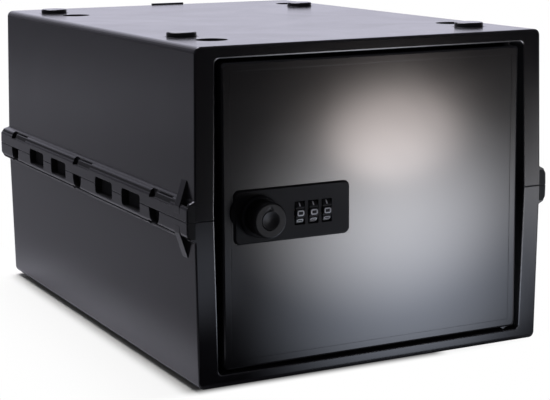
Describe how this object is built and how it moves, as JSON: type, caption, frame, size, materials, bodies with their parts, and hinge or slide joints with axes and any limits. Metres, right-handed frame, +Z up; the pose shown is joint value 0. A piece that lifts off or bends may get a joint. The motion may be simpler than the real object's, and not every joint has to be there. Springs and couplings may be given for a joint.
{
  "type": "lock box",
  "caption": "Moulded plastic lock box of snapped half shells with a side-hung door, dial lock, turn knob and latch arm.",
  "frame": {"origin": "on the floor under the centre of the whole box's footprint", "axes": "+Z up, -Y out of the door, +X to the right as the door is seen"},
  "size_m": [0.21, 0.3058, 0.172],
  "materials": {
    "shell_plastic": "satin moulded",
    "door_plastic": "fine brushed satin",
    "lock_plastic": "satin",
    "dial_plastic": "satin",
    "digit_paint": "printed",
    "zinc_steel": "zinc plated",
    "brass": "machined"
  },
  "bodies": {
    "shell": {"lower_shell": "shell_plastic", "upper_shell": "shell_plastic"},
    "door": {"door": "door_plastic", "lock_plate": "lock_plastic", "lock_housing": "lock_plastic", "lock_cover": "lock_plastic", "lock_screws": "zinc_steel", "sleeve_spring": "zinc_steel", "detent_spring": "zinc_steel"},
    "knob": {"knob": "lock_plastic", "spindle": "zinc_steel", "cam": "zinc_steel", "cam_washer": "zinc_steel", "cam_screw": "zinc_steel"},
    "slide": {"code_slide": "brass"},
    "dial_1": {"dial_1": "dial_plastic", "dial_sleeve_1": "brass"},
    "dial_2": {"dial_2": "dial_plastic", "dial_sleeve_2": "brass"},
    "dial_3": {"dial_3": "dial_plastic", "dial_sleeve_3": "brass"},
    "lever": {"code_lever": "lock_plastic"}
  },
  "joints": [
    {"name": "door_hinge", "type": "hinge", "parent": "shell", "child": "door", "pos_m": [0.0814, -0.1343, 0.086], "axis": [0, 0, 1], "range_deg": [0, 105]},
    {"name": "knob_turn", "type": "hinge", "parent": "door", "child": "knob", "pos_m": [-0.067, -0.15, 0.0859], "axis": [0, -1, 0], "range_deg": [0, 90]},
    {"name": "slide_push", "type": "slide", "parent": "door", "child": "slide", "axis": [1, 0, 0], "range_m": [0, 0.00625]},
    {"name": "dial_1_spin", "type": "hinge", "parent": "door", "child": "dial_1", "pos_m": [-0.0446, -0.1343, 0.08535], "axis": [1, 0, 0], "continuous": true},
    {"name": "dial_2_spin", "type": "hinge", "parent": "door", "child": "dial_2", "pos_m": [-0.03705, -0.1343, 0.08535], "axis": [1, 0, 0], "continuous": true},
    {"name": "dial_3_spin", "type": "hinge", "parent": "door", "child": "dial_3", "pos_m": [-0.0295, -0.1343, 0.08535], "axis": [1, 0, 0], "continuous": true},
    {"name": "lever_push", "type": "slide", "parent": "door", "child": "lever", "axis": [1, 0, 0], "range_m": [0, 0.003]}
  ],
  "couplings": [
    {"joint": "slide_push", "follows": "knob_turn", "m_per_rad": 0.003961}
  ]
}
